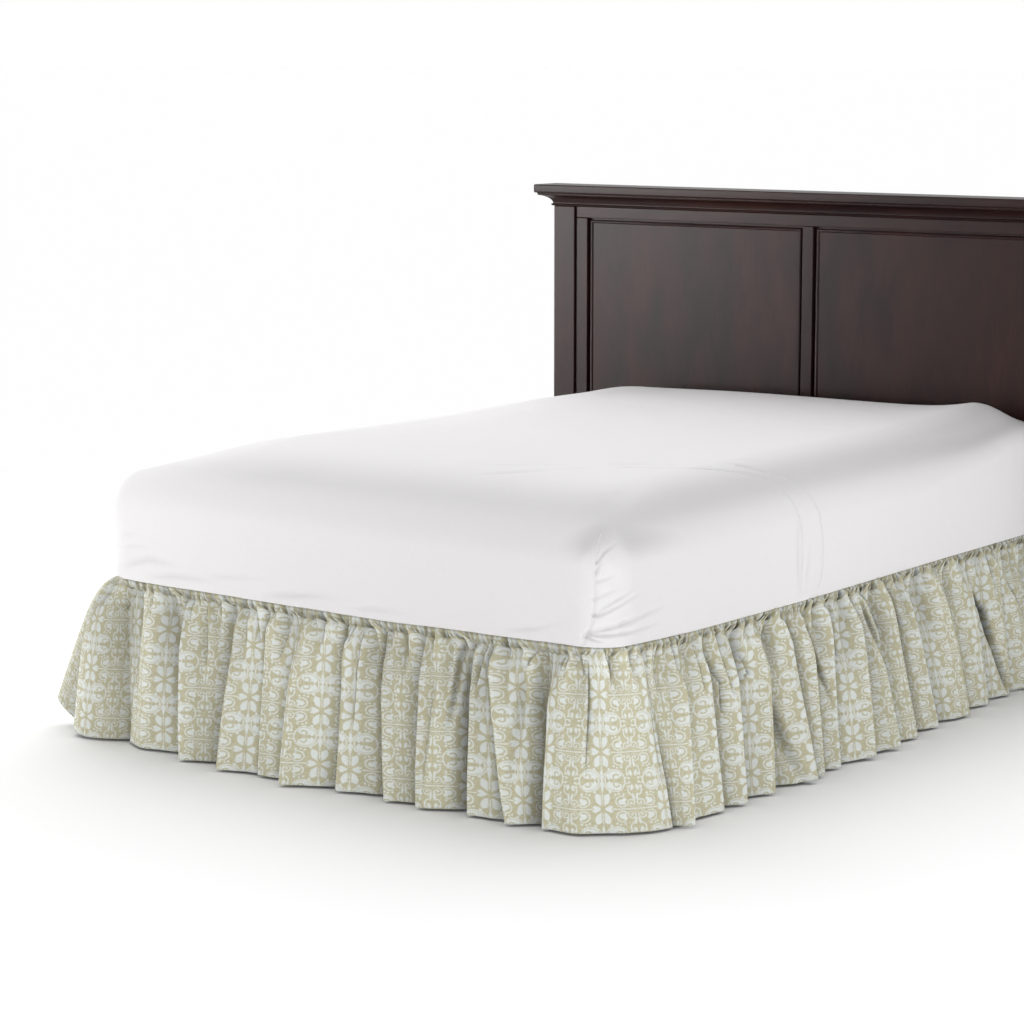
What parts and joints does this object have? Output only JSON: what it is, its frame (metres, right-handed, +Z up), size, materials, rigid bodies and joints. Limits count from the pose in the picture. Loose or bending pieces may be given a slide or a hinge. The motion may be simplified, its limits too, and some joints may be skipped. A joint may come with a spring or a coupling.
{
  "type": "gathered bed skirt on a bed",
  "caption": "Gathered scroll-print bed skirt that hangs to the floor round the foot of a bed with a white mattress, foundation, low frame and dark panelled headboard.",
  "frame": {"origin": "on the floor under the middle of the mattress, at the middle of the middle leg's underside", "axes": "+Z up; +Y along the bed towards the head and the headboard; +X across the bed, to the right for someone who looks from the foot to the head"},
  "size_m": [1.9129, 2.2134, 1.297],
  "materials": {
    "print_cotton": "matte printed cotton",
    "plain_cotton": "matte plain cotton",
    "sheet_cotton": "smooth white cotton sheet",
    "ticking": "matte woven ticking",
    "steel": "satin dark paint",
    "wood": "satin lacquer on espresso stain"
  },
  "bodies": {
    "root": {"ruffle": "print_cotton", "deck": "plain_cotton", "mattress": "sheet_cotton", "foundation": "ticking", "rail_left": "steel", "rail_right": "steel", "cross_rail_head": "steel", "cross_rail_middle": "steel", "cross_rail_foot": "steel", "leg_left_foot": "steel", "leg_left_head": "steel", "leg_right_foot": "steel", "leg_right_head": "steel", "leg_middle": "steel", "bracket_left": "steel", "bracket_right": "steel", "post_left": "wood", "post_right": "wood", "cap": "wood", "crown": "wood", "top_rail": "wood", "bottom_rail": "wood", "stile_left": "wood", "stile_middle": "wood", "stile_right": "wood", "panel_left": "wood", "panel_right": "wood"}
  },
  "joints": []
}
